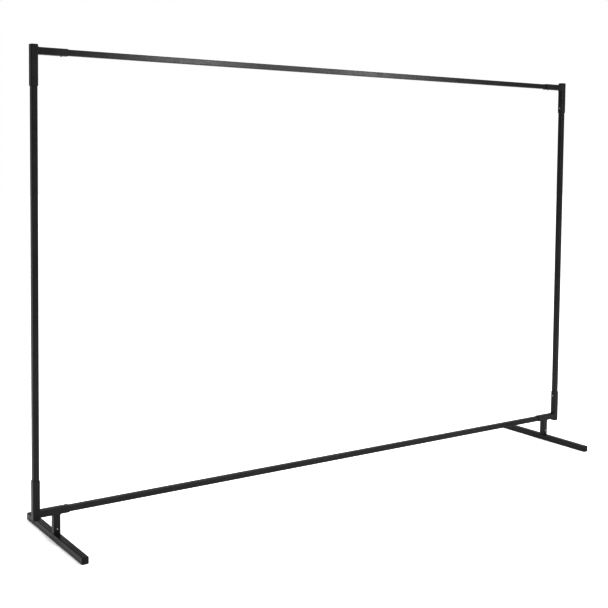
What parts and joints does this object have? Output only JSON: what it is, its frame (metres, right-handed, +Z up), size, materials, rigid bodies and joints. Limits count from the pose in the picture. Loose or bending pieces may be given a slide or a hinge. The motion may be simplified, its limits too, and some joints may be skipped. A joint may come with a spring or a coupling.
{
  "type": "welding curtain screen frame",
  "caption": "Free-standing black square-tube frame for a welding curtain, with clamped corner connectors and two removable cross feet.",
  "frame": {"origin": "on the floor, midway between the two feet", "axes": "+X along the rails from left to right, +Y from front to back along the feet, +Z up"},
  "size_m": [3.23, 0.64, 2.107],
  "materials": {
    "frame_black": "semi-gloss black powder coat over square steel tube",
    "connector_black": "semi-gloss black powder coat over a larger square steel tube",
    "foot_black": "semi-gloss black powder coat, lightly scuffed",
    "weld_black": "powder-coated weld bead",
    "plug_black": "moulded black plastic, fine satin grain",
    "screw_steel": "zinc-plated steel set screw"
  },
  "bodies": {
    "bottom_left_corner": {"bottom_left_upright_sleeve": "connector_black", "bottom_left_rail_sleeve": "connector_black", "bottom_left_weld": "weld_black", "bottom_left_plug": "plug_black", "left_post": "connector_black", "left_post_weld": "weld_black"},
    "bottom_right_corner": {"bottom_right_upright_sleeve": "connector_black", "bottom_right_rail_sleeve": "connector_black", "bottom_right_weld": "weld_black", "bottom_right_plug": "plug_black", "right_post": "connector_black", "right_post_weld": "weld_black"},
    "top_left_corner": {"top_left_upright_sleeve": "connector_black", "top_left_rail_sleeve": "connector_black", "top_left_weld": "weld_black", "top_left_plug": "plug_black"},
    "top_right_corner": {"top_right_upright_sleeve": "connector_black", "top_right_rail_sleeve": "connector_black", "top_right_weld": "weld_black", "top_right_plug": "plug_black"},
    "left_foot": {"left_foot_tube": "foot_black", "left_foot_stub": "foot_black", "left_foot_weld": "weld_black", "left_foot_plugs": "plug_black"},
    "right_foot": {"right_foot_tube": "foot_black", "right_foot_stub": "foot_black", "right_foot_weld": "weld_black", "right_foot_plugs": "plug_black"},
    "left_upright": {"left_upright": "frame_black"},
    "right_upright": {"right_upright": "frame_black"},
    "top_rail": {"top_rail": "frame_black"},
    "bottom_rail": {"bottom_rail": "frame_black"},
    "bottom_left_upright_screw": {"bottom_left_upright_screw": "screw_steel"},
    "bottom_left_rail_screw": {"bottom_left_rail_screw": "screw_steel"},
    "bottom_right_upright_screw": {"bottom_right_upright_screw": "screw_steel"},
    "bottom_right_rail_screw": {"bottom_right_rail_screw": "screw_steel"},
    "top_left_upright_screw": {"top_left_upright_screw": "screw_steel"},
    "top_left_rail_screw": {"top_left_rail_screw": "screw_steel"},
    "top_right_upright_screw": {"top_right_upright_screw": "screw_steel"},
    "top_right_rail_screw": {"top_right_rail_screw": "screw_steel"},
    "left_post_screw": {"left_post_screw": "screw_steel"},
    "right_post_screw": {"right_post_screw": "screw_steel"}
  },
  "joints": [
    {"name": "left_upright_slide", "type": "slide", "parent": "bottom_left_corner", "child": "left_upright", "axis": [0, 0, 1], "range_m": [0, 0.11]},
    {"name": "right_upright_slide", "type": "slide", "parent": "bottom_right_corner", "child": "right_upright", "axis": [0, 0, 1], "range_m": [0, 0.11]},
    {"name": "top_corner_slide", "type": "slide", "parent": "left_upright", "child": "top_left_corner", "axis": [0, 0, 1], "range_m": [0, 0.11]},
    {"name": "bottom_rail_slide", "type": "slide", "parent": "bottom_left_corner", "child": "bottom_rail", "axis": [1, 0, 0], "range_m": [0, 0.09]},
    {"name": "top_rail_slide", "type": "slide", "parent": "top_left_corner", "child": "top_rail", "axis": [1, 0, 0], "range_m": [0, 0.09]},
    {"name": "bottom_right_corner_slide", "type": "slide", "parent": "bottom_rail", "child": "bottom_right_corner", "axis": [1, 0, 0], "range_m": [0, 0.09]},
    {"name": "top_right_corner_slide", "type": "slide", "parent": "top_rail", "child": "top_right_corner", "axis": [1, 0, 0], "range_m": [0, 0.09]},
    {"name": "frame_lift_slide", "type": "slide", "parent": "left_foot", "child": "bottom_left_corner", "axis": [0, 0, 1], "range_m": [0, 0.045]},
    {"name": "right_foot_slide", "type": "slide", "parent": "bottom_right_corner", "child": "right_foot", "axis": [0, 0, -1], "range_m": [0, 0.045]},
    {"name": "bottom_left_upright_screw_turn", "type": "hinge", "parent": "bottom_left_corner", "child": "bottom_left_upright_screw", "pos_m": [-1.5843, 0, 0.25], "axis": [1, 0, 0], "range_deg": [0, 720]},
    {"name": "bottom_left_rail_screw_turn", "type": "hinge", "parent": "bottom_left_corner", "child": "bottom_left_rail_screw", "pos_m": [-1.48, 0, 0.1457], "axis": [0, 0, 1], "range_deg": [0, 720]},
    {"name": "bottom_right_upright_screw_turn", "type": "hinge", "parent": "bottom_right_corner", "child": "bottom_right_upright_screw", "pos_m": [1.5843, 0, 0.25], "axis": [-1, 0, 0], "range_deg": [0, 720]},
    {"name": "bottom_right_rail_screw_turn", "type": "hinge", "parent": "bottom_right_corner", "child": "bottom_right_rail_screw", "pos_m": [1.48, 0, 0.1457], "axis": [0, 0, 1], "range_deg": [0, 720]},
    {"name": "top_left_upright_screw_turn", "type": "hinge", "parent": "top_left_corner", "child": "top_left_upright_screw", "pos_m": [-1.5843, 0, 1.96], "axis": [1, 0, 0], "range_deg": [0, 720]},
    {"name": "top_left_rail_screw_turn", "type": "hinge", "parent": "top_left_corner", "child": "top_left_rail_screw", "pos_m": [-1.48, 0, 2.0643], "axis": [0, 0, -1], "range_deg": [0, 720]},
    {"name": "top_right_upright_screw_turn", "type": "hinge", "parent": "top_right_corner", "child": "top_right_upright_screw", "pos_m": [1.5843, 0, 1.96], "axis": [-1, 0, 0], "range_deg": [0, 720]},
    {"name": "top_right_rail_screw_turn", "type": "hinge", "parent": "top_right_corner", "child": "top_right_rail_screw", "pos_m": [1.48, 0, 2.0643], "axis": [0, 0, -1], "range_deg": [0, 720]},
    {"name": "left_post_screw_turn", "type": "hinge", "parent": "bottom_left_corner", "child": "left_post_screw", "pos_m": [-1.51, -0.0157, 0.0535], "axis": [0, -1, 0], "range_deg": [0, 720]},
    {"name": "right_post_screw_turn", "type": "hinge", "parent": "bottom_right_corner", "child": "right_post_screw", "pos_m": [1.51, -0.0157, 0.0535], "axis": [0, -1, 0], "range_deg": [0, 720]}
  ],
  "couplings": [
    {"joint": "right_upright_slide", "follows": "left_upright_slide", "ratio": 1},
    {"joint": "top_rail_slide", "follows": "bottom_rail_slide", "ratio": 1},
    {"joint": "top_right_corner_slide", "follows": "bottom_right_corner_slide", "ratio": 1},
    {"joint": "right_foot_slide", "follows": "frame_lift_slide", "ratio": 1}
  ]
}
